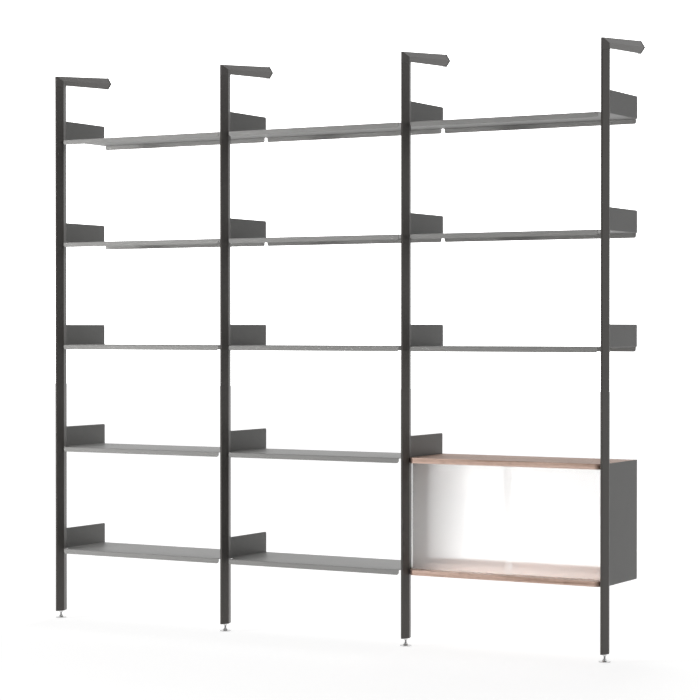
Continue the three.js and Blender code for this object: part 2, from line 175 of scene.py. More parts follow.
# %% [markdown]
# ## Floor
# A plain pale floor carries the feet and catches their soft shadow. A floor that is only painted
# white turns grey where less light falls, so part of its white comes from a glow that only the eye
# and mirrored or bent rays see, and the rest is real light, which keeps the shadow. Far from the
# unit, where the lamps no longer reach, the glow is stronger, or a grey horizon would show.

# %% Floor
glow_share = 0.62
glow_strength = (1.42, 1.75)
glow_grows = (1.5, 5.0)
bpy.ops.object.select_all(action="DESELECT")
bpy.ops.mesh.primitive_plane_add(size=60, location=(0, 0, 0))
floor = bpy.context.object
floor.name = "floor"
floor_paint = bpy.data.materials.new("floor_paint")
floor_paint.use_nodes = True
tree = floor_paint.node_tree
nodes, links = tree.nodes, tree.links
nodes.clear()
ray = nodes.new("ShaderNodeLightPath")
share = computed(tree, "MULTIPLY", seen_mirrored_or_bent(tree, ray), glow_share)
paint = nodes.new("ShaderNodeBsdfDiffuse")
paint.inputs["Color"].default_value = (0.86, 0.855, 0.85, 1)
floor_place = nodes.new("ShaderNodeTexCoord")
far = nodes.new("ShaderNodeVectorMath")
far.operation = "LENGTH"
links.new(floor_place.outputs["Object"], far.inputs[0])
glow = nodes.new("ShaderNodeEmission")
links.new(rescaled(tree, far.outputs["Value"], glow_grows, glow_strength), glow.inputs["Strength"])
floor_output = nodes.new("ShaderNodeOutputMaterial")
links.new(mixed_with(tree, share, paint.outputs[0], glow.outputs[0]), floor_output.inputs["Surface"])
floor.data.materials.append(floor_paint)
print("floor of", tuple(round(side, 1) for side in floor.dimensions))

# %% [markdown]
# ## Finishes
# Every finish starts from the same few nodes: a shader, the object's own coordinates and an output.
# A picture could be wrapped round each piece, but patterns worked out from the coordinates need no
# unwrapping, stay sharp from close by, and run on from one piece to the next as one sheet would.

# %% A material's first nodes
def new_finish(name, roughness, metallic=0.0, specular=0.5):
    finish = bpy.data.materials.new(name)
    finish.use_nodes = True
    nodes = finish.node_tree.nodes
    shader = nodes["Principled BSDF"]
    shader.inputs["Roughness"].default_value = roughness
    shader.inputs["Metallic"].default_value = metallic
    shader.inputs["Specular IOR Level"].default_value = specular
    place = nodes.new("ShaderNodeTexCoord").outputs["Object"]
    return finish, finish.node_tree, shader, place


print("a material can be started")

# %% Patterns and relief
def speckle(tree, place, scale, detail=3.0, roughness=0.5, distortion=0.0):
    noise = tree.nodes.new("ShaderNodeTexNoise")
    noise.inputs["Scale"].default_value = scale
    noise.inputs["Detail"].default_value = detail
    noise.inputs["Roughness"].default_value = roughness
    noise.inputs["Distortion"].default_value = distortion
    tree.links.new(place, noise.inputs["Vector"])
    return noise.outputs["Fac"]


def tones(tree, value, steps):
    ramp = tree.nodes.new("ShaderNodeValToRGB")
    tree.links.new(value, ramp.inputs["Fac"])
    for index, (position, colour) in enumerate(steps):
        if index < 2:
            stop = ramp.color_ramp.elements[index]
            stop.position = position
        else:
            stop = ramp.color_ramp.elements.new(position)
        stop.color = (*colour, 1)
    return ramp.outputs["Color"]


def relief(tree, shader, height, depth, strength=1.0):
    bump = tree.nodes.new("ShaderNodeBump")
    bump.inputs["Distance"].default_value = depth
    bump.inputs["Strength"].default_value = strength
    tree.links.new(height, bump.inputs["Height"])
    tree.links.new(bump.outputs["Normal"], shader.inputs["Normal"])


def between(tree, noise, low, high):
    return rescaled(tree, noise, (0.3, 0.7), (low, high))


print("helpers for patterns and relief are ready")

# %% [markdown]
# ### Powder coat
# The steel and the arms are powder coated: a dry, baked paint with a fine orange-peel skin and hardly
# any gloss. One recipe serves three tones, dark for the uprights, hardly lighter for the arms and
# middle for the shelves; what makes an arm look light from the front is the white it mirrors at a low
# angle. The skin is a small relief, and slow changes of tone keep large faces from looking flat.

# %% Powder coat
def powder_coat(name, dark, light, roughness, specular, sheen=(1, 1, 1)):
    finish, tree, shader, place = new_finish(name, roughness, specular=specular)
    shader.inputs["Specular Tint"].default_value = (*sheen, 1)
    cloud = speckle(tree, place, 2.3, 4)
    tree.links.new(tones(tree, cloud, [(0.35, dark), (0.65, light)]), shader.inputs["Base Color"])
    grain = speckle(tree, place, 900, 2)
    tree.links.new(between(tree, grain, roughness - 0.05, roughness + 0.05), shader.inputs["Roughness"])
    relief(tree, shader, grain, 0.05 * mm, 0.6)
    return finish


warm = (1, 0.96, 0.92)
upright_coat = powder_coat("upright_coat", (0.028, 0.025, 0.023), (0.034, 0.031, 0.029), 0.36, 0.9, warm)
arm_coat = powder_coat("arm_coat", (0.055, 0.052, 0.05), (0.065, 0.062, 0.06), 0.36, 0.9, warm)
shelf_coat = powder_coat("shelf_coat", (0.25, 0.248, 0.242), (0.28, 0.278, 0.272), 0.42, 0.55)
print("powder coats:", upright_coat.name, arm_coat.name, shelf_coat.name)

# %% [markdown]
# ### Bare metals
# The hooks' strips are zinc plated, the feet polished and the door edges brushed. A metal's colour
# is all in its mirror image, so what tells them apart is how rough they are and which way: zinc is
# clouded in small flakes, polish is even, and brushing leaves long fine lines.

# %% Bare metals
def stretched(tree, place, stretch):
    mapping = tree.nodes.new("ShaderNodeMapping")
    mapping.inputs["Scale"].default_value = stretch
    tree.links.new(place, mapping.inputs["Vector"])
    return mapping.outputs["Vector"]


def plated(name, colour, roughness, scale, stretch=(1, 1, 1)):
    finish, tree, shader, place = new_finish(name, roughness, metallic=1.0)
    mark = speckle(tree, stretched(tree, place, stretch), scale)
    darker = tuple(0.82 * part for part in colour)
    tree.links.new(tones(tree, mark, [(0.3, darker), (0.7, colour)]), shader.inputs["Base Color"])
    tree.links.new(between(tree, mark, 0.7 * roughness, 1.3 * roughness), shader.inputs["Roughness"])
    relief(tree, shader, mark, 0.02 * mm, 0.4)
    return finish


zinc = plated("zinc", (0.62, 0.63, 0.64), 0.38, 180)
polished_steel = plated("polished_steel", (0.72, 0.72, 0.72), 0.14, 400)
brushed_aluminium = plated("brushed_aluminium", (0.93, 0.93, 0.92), 0.3, 900, (1, 1, 0.02))
print("metals:", zinc.name, polished_steel.name, brushed_aluminium.name)

# %% [markdown]
# ### Walnut
# The panels are walnut with a pale oiled finish, and the grain runs along the width. Wood could be
# drawn from rings, as it grows, but a board cut near the heart shows almost straight bands with a few
# wavy flames, so stretched noise does better: broad bands of tone, fine dark pores in short dashes,
# and a relief that follows the pores.

# %% Walnut
def walnut_finish():
    finish, tree, shader, place = new_finish("walnut", 0.5, specular=0.35)
    band = speckle(tree, stretched(tree, place, (1.6, 34, 46)), 1.0, 5, roughness=0.6, distortion=0.6)
    bands = tones(tree, band, [
        (0.30, (0.38, 0.245, 0.19)),
        (0.70, (0.84, 0.64, 0.55)),
        (0.42, (0.58, 0.405, 0.325)),
        (0.55, (0.74, 0.54, 0.455)),
    ])
    pore = speckle(tree, stretched(tree, place, (26, 1500, 1500)), 1.0, 2)
    dashes = tones(tree, pore, [(0.36, (0.55, 0.5, 0.47)), (0.47, (1, 1, 1))])
    stain = tree.nodes.new("ShaderNodeMix")
    stain.data_type = "RGBA"
    stain.blend_type = "MULTIPLY"
    stain.inputs["Factor"].default_value = 1.0
    tree.links.new(bands, stain.inputs["A"])
    tree.links.new(dashes, stain.inputs["B"])
    tree.links.new(stain.outputs["Result"], shader.inputs["Base Color"])
    tree.links.new(between(tree, pore, 0.58, 0.44), shader.inputs["Roughness"])
    relief(tree, shader, pore, 0.06 * mm, 0.5)
    return finish


walnut = walnut_finish()
print("wood:", walnut.name)

# %% [markdown]
# ### Ribbed glass
# Through the doors every upright edge melts away sideways, while the level edges stay sharp, under a
# white veil. Evenly etched glass would blur both, so the panes are taken as finely ribbed, with ribs
# that stand upright and are much finer than can be seen from the camera. Where a ray enters, the ribs
# tilt the face by a sine of its place; where it leaves, a part of it is spread in all directions,
# which gives the veil. Light has to pass the doors to fill the cabinet, so the pane lets a part of
# the shadow rays through, as thin glass does, instead of leaving them to find their way by chance.

# %% Ribs
def tilted_by_ribs(tree, place, surface, rib_width, rib_slope):
    nodes, links = tree.nodes, tree.links
    across = nodes.new("ShaderNodeSeparateXYZ")
    links.new(place, across.inputs[0])
    wave = computed(tree, "SINE", computed(tree, "MULTIPLY", across.outputs["X"], 2 * math.pi / rib_width))
    slope = computed(tree, "MULTIPLY", wave, rib_slope)
    entering = computed(tree, "SUBTRACT", 1, surface.outputs["Backfacing"])
    lean = nodes.new("ShaderNodeCombineXYZ")
    links.new(computed(tree, "MULTIPLY", slope, entering), lean.inputs["X"])
    leaning = nodes.new("ShaderNodeVectorMath")
    leaning.operation = "ADD"
    links.new(surface.outputs["Normal"], leaning.inputs[0])
    links.new(lean.outputs[0], leaning.inputs[1])
    tilted = nodes.new("ShaderNodeVectorMath")
    tilted.operation = "NORMALIZE"
    links.new(leaning.outputs["Vector"], tilted.inputs[0])
    return tilted.outputs["Vector"]


print("a face can be tilted by ribs")

# %% Ribbed glass
def ribbed_glass_finish(rib_width, rib_slope, veil, shadow_share):
    finish, tree, shader, place = new_finish("ribbed_glass", 0.08, specular=0.4)
    nodes, links = tree.nodes, tree.links
    shader.inputs["Transmission Weight"].default_value = 1.0
    shader.inputs["IOR"].default_value = 1.45
    frost = speckle(tree, place, 260, 5)
    links.new(tones(tree, frost, [(0.3, (0.96, 0.962, 0.96)), (0.7, (1.0, 1.0, 1.0))]),
              shader.inputs["Base Color"])
    links.new(between(tree, frost, 0.1, 0.14), shader.inputs["Roughness"])
    surface = nodes.new("ShaderNodeNewGeometry")
    links.new(tilted_by_ribs(tree, place, surface, rib_width, rib_slope), shader.inputs["Normal"])
    spread = nodes.new("ShaderNodeBsdfTranslucent")
    spread.inputs["Color"].default_value = (0.98, 0.98, 0.98, 1)
    clear = nodes.new("ShaderNodeBsdfTransparent")
    ray = nodes.new("ShaderNodeLightPath")
    leaving = computed(tree, "MULTIPLY", surface.outputs["Backfacing"], veil)
    passing = computed(tree, "MULTIPLY", ray.outputs["Is Shadow Ray"], shadow_share)
    veiled = mixed_with(tree, leaving, shader.outputs[0], spread.outputs[0])
    links.new(mixed_with(tree, passing, veiled, clear.outputs[0]),
              nodes["Material Output"].inputs["Surface"])
    return finish


ribbed_glass = ribbed_glass_finish(rib_width=2.5 * mm, rib_slope=0.49, veil=0.28, shadow_share=0.3)
print("glass:", ribbed_glass.name)

# %% [markdown]
# ### Nylon
# Glides and sockets are moulded nylon, slightly waxy and a little see-through at thin edges. Only a
# trace of them shows, so a soft white with a faint moulding grain is enough.

# %% Nylon
def nylon_finish():
    finish, tree, shader, place = new_finish("nylon", 0.45)
    grain = speckle(tree, place, 700, 3)
    tree.links.new(tones(tree, grain, [(0.3, (0.6, 0.6, 0.585)), (0.7, (0.68, 0.68, 0.665))]),
                   shader.inputs["Base Color"])
    relief(tree, shader, grain, 0.03 * mm, 0.4)
    return finish


nylon = nylon_finish()
print("plastic:", nylon.name)

# %% [markdown]
# ## Working helpers
# The pieces are modelled as by hand: a primitive is placed, opened for editing, and shaped by picking
# some of its corners, edges or faces and pulling them out, cutting or rounding them. On the screen
# they are clicked on; here they are picked by where they lie, which works again after any change.

# %% Opening and picking
def close_piece():
    if bpy.context.mode != "OBJECT":
        bpy.ops.object.mode_set(mode="OBJECT")


def clear_selection():
    close_piece()
    bpy.ops.object.select_all(action="DESELECT")


def open_piece(piece):
    clear_selection()
    piece.select_set(True)
    bpy.context.view_layer.objects.active = piece
    bpy.ops.object.mode_set(mode="EDIT")


def pick(kind, where, facing=None):
    bpy.ops.mesh.select_mode(type=kind)
    bpy.ops.mesh.select_all(action="DESELECT")
    mesh = bpy.context.edit_object.data
    shape = bmesh.from_edit_mesh(mesh)
    for part in {"VERT": shape.verts, "EDGE": shape.edges, "FACE": shape.faces}[kind]:
        corners = [part] if kind == "VERT" else part.verts
        inside = all(where(corner.co) for corner in corners)
        if inside and (facing is None or part.normal.dot(Vector(facing)) > 0.99):
            part.select_set(True)
    bmesh.update_edit_mesh(mesh)


near = 0.03 * mm


def at(value, place):
    return abs(value - place) < near


print("pieces can be opened, and parts of them picked")

# %% Pulling, cutting and rounding
def pull(x=0.0, y=0.0, z=0.0):
    bpy.ops.mesh.extrude_region_move(TRANSFORM_OT_translate={"value": (x, y, z)})


def shift(x=0.0, y=0.0, z=0.0):
    bpy.ops.transform.translate(value=(x, y, z))


def cut_at(place, normal, where=None, **drop):
    if where is None:
        bpy.ops.mesh.select_all(action="SELECT")
    else:
        pick("FACE", where)
    bpy.ops.mesh.bisect(plane_co=place, plane_no=normal, **drop)


def round_off(radius, steps, corners=False):
    bpy.ops.mesh.bevel(offset=radius, offset_type="OFFSET", segments=steps, profile=0.5,
                       affect="VERTICES" if corners else "EDGES")


print("helpers for shaping are ready")

# %% Starting with a plate
def apply_place(location=True):
    bpy.ops.object.transform_apply(location=location, rotation=True, scale=True)


def open_new(name):
    piece = bpy.context.object
    piece.name = name
    apply_place()
    open_piece(piece)
    return piece


def start_plate(name, low, high, turn=(0, 0, 0)):
    clear_selection()
    middle = (Vector(low) + Vector(high)) / 2
    bpy.ops.mesh.primitive_plane_add(size=1, location=middle, rotation=turn)
    apply_place(location=False)
    bpy.context.object.scale = [abs(b - a) or mm for a, b in zip(low, high)]
    return open_new(name)


print("a plate can be started")

# %% [markdown]
# ## Shelves
# Each shelf is one folded sheet of steel: the front and rear edges are turned down as lips, which
# keep it from sagging, and both ends are turned up as low plates with hooks on their front edge. It
# could be built from boxes, but then its corners would be as sharp as paper. So it is made as in the
# workshop: a flat blank is notched at its corners, its flaps are folded, each fold gets its radius,
# and at last the sheet gets its two millimetres. One shelf is made, and the other twelve are copies.

# %% Blank
sheet = 2 * mm
outer_fold = 3.5 * mm
end_plate = 81.3 * mm
lip_drop = 19.3 * mm
plate_setback = 46.3 * mm
front_lip_setback = 23.6 * mm
rear_lip_setback = 5.6 * mm
shelf_low, shelf_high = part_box("shelf_bay1_level1")
deck = shelf_high.z - end_plate
left_end, right_end = shelf_low.x + sheet, shelf_high.x - sheet
front_lip = (shelf_low.x + front_lip_setback, shelf_high.x - front_lip_setback)
rear_lip = (shelf_low.x + rear_lip_setback, shelf_high.x - rear_lip_setback)
plate_front = shelf_low.y + plate_setback
plate_rear = shelf_high.y - outer_fold
shelf = start_plate("shelf_bay1_level1_folded", (left_end, shelf_low.y, deck),
                    (right_end, shelf_high.y, deck))
for place in (*front_lip, *rear_lip):
    cut_at((place, 0, deck), (1, 0, 0))
for place in (plate_front, plate_rear):
    cut_at((0, place, deck), (0, 1, 0))
for lip_ends, in_line in ((front_lip, lambda co: co.y < plate_front + near),
                          (rear_lip, lambda co: co.y > plate_rear - near)):
    pick("FACE", lambda co: in_line(co) and co.x < lip_ends[0] + near)
    bpy.ops.mesh.delete(type="FACE")
    pick("FACE", lambda co: in_line(co) and co.x > lip_ends[1] - near)
    bpy.ops.mesh.delete(type="FACE")
print("blank notched at its four corners")

# %% Lips and end plates
for edge_y in (shelf_low.y, shelf_high.y):
    pick("EDGE", lambda co: at(co.y, edge_y))
    pull(z=-lip_drop)
for edge_x in (left_end, right_end):
    pick("EDGE", lambda co: at(co.x, edge_x) and at(co.z, deck))
    pull(z=end_plate)
for edge_y, ends, corner in ((shelf_low.y, front_lip, 10 * mm), (shelf_high.y, rear_lip, 8 * mm)):
    pick("VERT", lambda co: at(co.y, edge_y) and at(co.z, deck - lip_drop)
         and (at(co.x, ends[0]) or at(co.x, ends[1])))
    round_off(corner, 8, corners=True)
pick("VERT", lambda co: at(co.y, plate_rear) and at(co.z, deck + end_plate))
round_off(6 * mm, 8, corners=True)
print("flaps folded")

# %% Hooks
hook_rise = 8 * mm
hook_height = 13 * mm
hook_drop = 6 * mm
hook_thickness = 4 * mm
hook_neck = 18.3 * mm
notch_pitch = 59.5 * mm
hook_back = plate_front - hook_neck


def hook(edge_x, edge_y, underside):
    pick("EDGE", lambda co: at(co.x, edge_x) and at(co.y, edge_y)
         and underside - near < co.z < underside + hook_height + near)
    pull(y=hook_back - plate_front)
    pull(y=-hook_thickness)
    pick("EDGE", lambda co: at(co.x, edge_x) and co.y < hook_back + near and at(co.z, underside))
    pull(z=-hook_drop)


for underside in (deck + hook_rise, deck + hook_rise + notch_pitch):
    for height in (underside, underside + hook_height):
        cut_at((0, 0, height), (0, 0, 1), where=lambda co: at(co.x, left_end) or at(co.x, right_end))
    for edge_x in (left_end, right_end):
        hook(edge_x, plate_front, underside)
print("two hooks on each end")

# %% Helpers that finish a piece
def merge_doubles():
    bpy.ops.mesh.select_all(action="SELECT")
    bpy.ops.mesh.remove_doubles(threshold=0.02 * mm)


def finish_with(piece, kind, **settings):
    close_piece()
    modifier = piece.modifiers.new(kind.lower(), kind)
    for setting, value in settings.items():
        setattr(modifier, setting, value)
    bpy.ops.object.modifier_apply(modifier=modifier.name)


def give_wall(piece, thickness):
    finish_with(piece, "SOLIDIFY", thickness=thickness, offset=-1, use_even_offset=True)


def soften(piece, width, steps=2, sharper_than=50):
    finish_with(piece, "BEVEL", width=width, segments=steps, limit_method="ANGLE",
                angle_limit=math.radians(sharper_than))
    bpy.ops.object.shade_smooth_by_angle(angle=math.radians(48))
    finish_with(piece, "WEIGHTED_NORMAL", keep_sharp=True)


def report(piece):
    print(piece.name, len(piece.data.polygons), "faces,", "size in mm",
          [round(side / mm, 1) for side in piece.dimensions])


print("helpers for finishing are ready")

# %% Folds and thickness
pick("EDGE", lambda co: at(co.z, deck) and (at(co.y, shelf_low.y) or at(co.y, shelf_high.y)))
round_off(outer_fold, 6)
for edge_x in (left_end, right_end):
    pick("EDGE", lambda co: at(co.z, deck) and at(co.x, edge_x))
    round_off(outer_fold - sheet, 6)
merge_doubles()
give_wall(shelf, sheet)
soften(shelf, 0.35 * mm)
report(shelf)

# %% Copies and their bodies
def copy_of(piece, name, move):
    clear_selection()
    piece.select_set(True)
    bpy.context.view_layer.objects.active = piece
    bpy.ops.object.duplicate()
    twin = bpy.context.object
    twin.name = name
    bpy.ops.transform.translate(value=move)
    apply_place()
    return twin


def hand_over(piece, finish, body, slot, *stands_for):
    piece.data.materials.clear()
    piece.data.materials.append(finish)
    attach(piece, body)
    if stands_for:
        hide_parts(*stands_for)


print("pieces can be copied and handed over")

# %% Thirteen shelves
shelf_names = sorted(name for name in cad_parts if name.startswith("shelf_bay"))
for name in shelf_names[1:]:
    twin = copy_of(shelf, name + "_folded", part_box(name)[0] - shelf_low)
    hand_over(twin, shelf_coat, "frame", "shelf_paint", name)
hand_over(shelf, shelf_coat, "frame", "shelf_paint", shelf_names[0])
print(len(shelf_names), "shelves")

# %% [markdown]
# ## Uprights
# An upright is a hollow six-sided tube with a slot down its back, where the shelves hook in. A tube
# could be a cylinder with six sides and a cut, but its sides aren't equal and the slot has lips. Half
# of the wall is drawn out edge by edge from a narrow strip, as a rolled section is, then mirrored,
# and its arrises are rounded a little so that they catch a line of light.

# %% Rolled section
upright_low, upright_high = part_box("upright_1")
axis_x = (upright_low.x + upright_high.x) / 2
front_half = 3.75 * mm
ridge_half = 16.75 * mm
rear_half = 4.5 * mm
slot_half = 2.8 * mm
ridge_depth = 30 * mm
tube_depth = 64 * mm
tube = start_plate("upright_1_tube", (0, upright_low.y, upright_low.z),
                   (front_half, upright_low.y, upright_high.z), turn=(math.radians(90), 0, 0))
pick("EDGE", lambda co: at(co.x, front_half))
pull(x=ridge_half - front_half, y=ridge_depth)
pull(x=rear_half - ridge_half, y=tube_depth - ridge_depth)
pull(x=slot_half - rear_half)
print("half of the section drawn out")

# %% Mirror, arrises and wall
finish_with(tube, "MIRROR", use_axis=(True, False, False), merge_threshold=0.01 * mm)
open_piece(tube)
for side in (-1, 1):
    pick("EDGE", lambda co: at(co.x, side * front_half))
    round_off(1.1 * mm, 3)
    pick("EDGE", lambda co: at(co.x, side * ridge_half))
    round_off(1.1 * mm, 4)
    pick("EDGE", lambda co: at(co.x, side * rear_half))
    round_off(0.6 * mm, 3)
bpy.ops.mesh.select_all(action="SELECT")
shift(x=axis_x)
give_wall(tube, 2.5 * mm)
soften(tube, 0.3 * mm, sharper_than=60)
report(tube)

# %% Four uprights
def one_per_upright(piece, kind, ending, finish, slot, body="frame"):
    for index in (2, 3, 4):
        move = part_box(f"upright_{index}")[0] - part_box("upright_1")[0]
        twin = copy_of(piece, f"{kind}_{index}_{ending}", move)
        hand_over(twin, finish, body.format(index), slot, f"{kind}_{index}")
    hand_over(piece, finish, body.format(1), slot, f"{kind}_1")
    print("four of", kind)


one_per_upright(tube, "upright", "tube", upright_coat, "upright_paint")

# %% [markdown]
# ## Elbow arms
# A cast arm plugs into the top of each upright, turns at a mitre and reaches back to the wall, and
# its section changes on the way: the upright is deeper than it is wide, the arm wider than it is
# deep. A six-cornered ring is pulled up from the seam, its corners are set on the mitre, and a last
# pull takes them back to the outline at the wall. Bridging separate rings would do as well, but
# pulling keeps the corners in step by itself.

# %% Six corners
def set_corners(where, places):
    shape = bmesh.from_edit_mesh(bpy.context.edit_object.data)
    ring = [corner.co.copy() for corner in shape.verts if where(corner.co)]
    middle = sum(ring, Vector()) / len(ring)
    ring.sort(key=lambda co: math.atan2(co.y - middle.y, co.x - middle.x))
    for corner, place in zip(ring, places):
        pick("VERT", lambda co: (co - corner).length < 0.01 * mm)
        shift(*(Vector(place) - corner))


seam = upright_high.z + 0.3 * mm
front = upright_low.y
section = [
    (-ridge_half, ridge_depth), (-front_half, 0), (front_half, 0),
    (ridge_half, ridge_depth), (rear_half, tube_depth), (-rear_half, tube_depth),
]
clear_selection()
bpy.ops.mesh.primitive_circle_add(vertices=6, radius=20 * mm, fill_type="NGON",
                                  location=(0, front + ridge_depth, seam))
arm = open_new("elbow_arm_1_cast")
set_corners(lambda co: True, [(x, front + y, seam) for x, y in section])
print("corners at the seam:", len(section))

# %% Mitre and reach
arm_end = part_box("elbow_arm_1")[1].y
mitre_rise = [25 * mm, 42.5 * mm, 42.5 * mm, 25 * mm, 10.5 * mm, 10.5 * mm]
wall_outline = [
    (-17.85 * mm, 44.7 * mm), (-2.5 * mm, 70 * mm), (2.5 * mm, 70 * mm),
    (17.85 * mm, 44.7 * mm), (2.5 * mm, 23.2 * mm), (-2.5 * mm, 23.2 * mm),
]
straight_part, mitre_part = 6 * mm, 5 * mm
level = seam + straight_part
bpy.ops.mesh.select_all(action="SELECT")
pull(z=straight_part)
pick("FACE", lambda co: at(co.z, level))
pull(z=mitre_part)
set_corners(lambda co: at(co.z, level + mitre_part),
            [(x, front + y, upright_high.z + rise) for (x, y), rise in zip(section, mitre_rise)])
pick("FACE", lambda co: co.z > upright_high.z + 10 * mm)
pull(y=arm_end - front, z=100 * mm)
set_corners(lambda co: co.z > upright_high.z + 100 * mm,
            [(x, arm_end, upright_high.z + rise) for x, rise in wall_outline])
print("arm reaches to", round(arm_end, 4))

# %% Pocket, spigot and arrises
def face_outwards():
    bpy.ops.mesh.select_all(action="SELECT")
    bpy.ops.mesh.normals_make_consistent(inside=False)


pocket_wall, pocket_depth = 4 * mm, 22 * mm
spigot_inset, spigot_length = 2.8 * mm, 60 * mm
pick("FACE", lambda co: at(co.y, arm_end))
bpy.ops.mesh.inset(thickness=pocket_wall)
pull(y=-pocket_depth)
pick("FACE", lambda co: at(co.z, seam))
bpy.ops.mesh.inset(thickness=spigot_inset)
pull(z=-spigot_length)
face_outwards()
shift(x=axis_x)
soften(arm, 1.0 * mm, steps=3, sharper_than=28)
report(arm)

# %% Four arms
one_per_upright(arm, "elbow_arm", "cast", arm_coat, "arm_paint")

# %% [markdown]
# ## Levelling feet
# Each upright stands on a polished foot: a round pad whose hub sweeps up to a threaded stem, and a
# nut that locks the stem under the upright. The pad is turned on a lathe, so it starts as a disc and
# its hub is pulled up in small steps, each a little narrower than the last.

# %% Starting with a rod
def start_rod(name, foot, radius, height, sides):
    clear_selection()
    middle = Vector(foot) + Vector((0, 0, height / 2))
    bpy.ops.mesh.primitive_cylinder_add(vertices=sides, radius=radius, depth=height, location=middle)
    return open_new(name)


print("a rod can be started")

# %% Pad
pad_low, pad_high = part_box("foot_pad_1")
foot_x = (pad_low.x + pad_high.x) / 2
foot_y = (pad_low.y + pad_high.y) / 2
pad_radius = (pad_high.x - pad_low.x) / 2
rim_height = 4.2 * mm
sweep = 7 * mm
sweep_steps = 8
bore_wall, bore_depth = 2.7 * mm, 8 * mm
pad = start_rod("foot_pad_1_turned", (foot_x, foot_y, 0), pad_radius, rim_height, 64)
pick("FACE", lambda co: at(co.z, rim_height), facing=(0, 0, 1))
bpy.ops.mesh.inset(thickness=pad_radius - 2 * sweep)
radius = 2 * sweep
height = 0.0
for step in range(1, sweep_steps + 1):
    turn = math.radians(90 * step / sweep_steps)
    next_radius = 2 * sweep - sweep * math.sin(turn)
    next_height = sweep * (1 - math.cos(turn))
    pull(z=next_height - height)
    bpy.ops.transform.resize(value=(next_radius / radius, next_radius / radius, 1),
                             center_override=(foot_x, foot_y, 0))
    radius, height = next_radius, next_height
pull(z=pad_high.z - rim_height - sweep)
bpy.ops.mesh.inset(thickness=bore_wall)
pull(z=-bore_depth)
soften(pad, 0.5 * mm, steps=3, sharper_than=40)
report(pad)

# %% Threaded stem
stem_low, stem_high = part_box("foot_stem_1")
thread_pitch = 1.25 * mm
crest = 4 * mm
root = 3.35 * mm
stem = start_plate("foot_stem_1_thread", (root, 0, 0), (crest, 0, thread_pitch),
                   turn=(math.radians(90), 0, 0))
pick("VERT", lambda co: at(co.x, root) and at(co.z, thread_pitch))
bpy.ops.mesh.delete(type="VERT")
pick("VERT", lambda co: at(co.x, crest) and at(co.z, 0))
shift(z=thread_pitch / 2)
pick("VERT", lambda co: at(co.x, crest) and at(co.z, thread_pitch))
shift(x=root - crest)
turns = math.ceil((stem_high.z - stem_low.z) / thread_pitch) + 2
finish_with(stem, "SCREW", angle=math.radians(360), screw_offset=thread_pitch, iterations=turns,
            steps=20, render_steps=20, axis="Z", use_merge_vertices=True, merge_threshold=0.01 * mm)
open_piece(stem)
merge_doubles()
shift(x=foot_x, y=foot_y, z=stem_low.z - thread_pitch)
cut_at((0, 0, stem_low.z), (0, 0, 1), use_fill=True, clear_inner=True)
cut_at((0, 0, stem_high.z), (0, 0, 1), use_fill=True, clear_outer=True)
face_outwards()
close_piece()
bpy.ops.object.shade_smooth_by_angle(angle=math.radians(30))
report(stem)

# %% Lock nut
def carve(piece, cutter, operation="DIFFERENCE"):
    open_piece(piece)
    finish_with(piece, "BOOLEAN", operation=operation, object=cutter, solver="EXACT")
    bpy.data.objects.remove(cutter)


nut_low, nut_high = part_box("foot_lock_nut_1")
nut_radius = 7.5 * mm
nut_height = nut_high.z - nut_low.z
running_gap = 0.2 * mm
chamfered = start_rod("chamfered_disc", (foot_x, foot_y, nut_low.z), nut_radius + 0.05 * mm,
                      nut_height, 48)
for face_height in (nut_low.z, nut_high.z):
    pick("EDGE", lambda co: at(co.z, face_height))
    round_off(0.9 * mm, 1)
drill = start_rod("drill", (foot_x, foot_y, nut_low.z - 5 * mm), crest + running_gap, 20 * mm, 24)
nut = start_rod("foot_lock_nut_1_hexagon", (foot_x, foot_y, nut_low.z), nut_radius, nut_height, 6)
carve(nut, chamfered, "INTERSECT")
carve(nut, drill)
open_piece(nut)
merge_doubles()
close_piece()
bpy.ops.object.shade_smooth_by_angle(angle=math.radians(20))
report(nut)

# %% Four feet
one_per_upright(pad, "foot_pad", "turned", polished_steel, "polished_steel", "foot_{}")
one_per_upright(stem, "foot_stem", "thread", polished_steel, "polished_steel", "foot_{}")
one_per_upright(nut, "foot_lock_nut", "hexagon", polished_steel, "polished_steel")

# %% [markdown]
# ## Cabinet panels
# The cabinet's top and bottom are solid boards with round front corners that pass between the
# uprights, and with two grooves each for the doors. A board starts flat as well, so that its corners
# can be rounded in one go, and only then gets its thickness. The grooves are ploughed with two
# cutters, as a router would, and the edges get a small arris.

# %% Starting with a block
def start_block(name, low, high):
    clear_selection()
    middle = (Vector(low) + Vector(high)) / 2
    bpy.ops.mesh.primitive_cube_add(size=1, location=middle)
    bpy.context.object.scale = [b - a for a, b in zip(low, high)]
    return open_new(name)


print("a block can be started")

# %% Boards
neck_setback = 8.8 * mm
shoulder_setback = 42 * mm
front_corner, rear_corner = 28 * mm, 2.5 * mm
door_tracks = (50 * mm, 60 * mm)
past_edge = 5 * mm


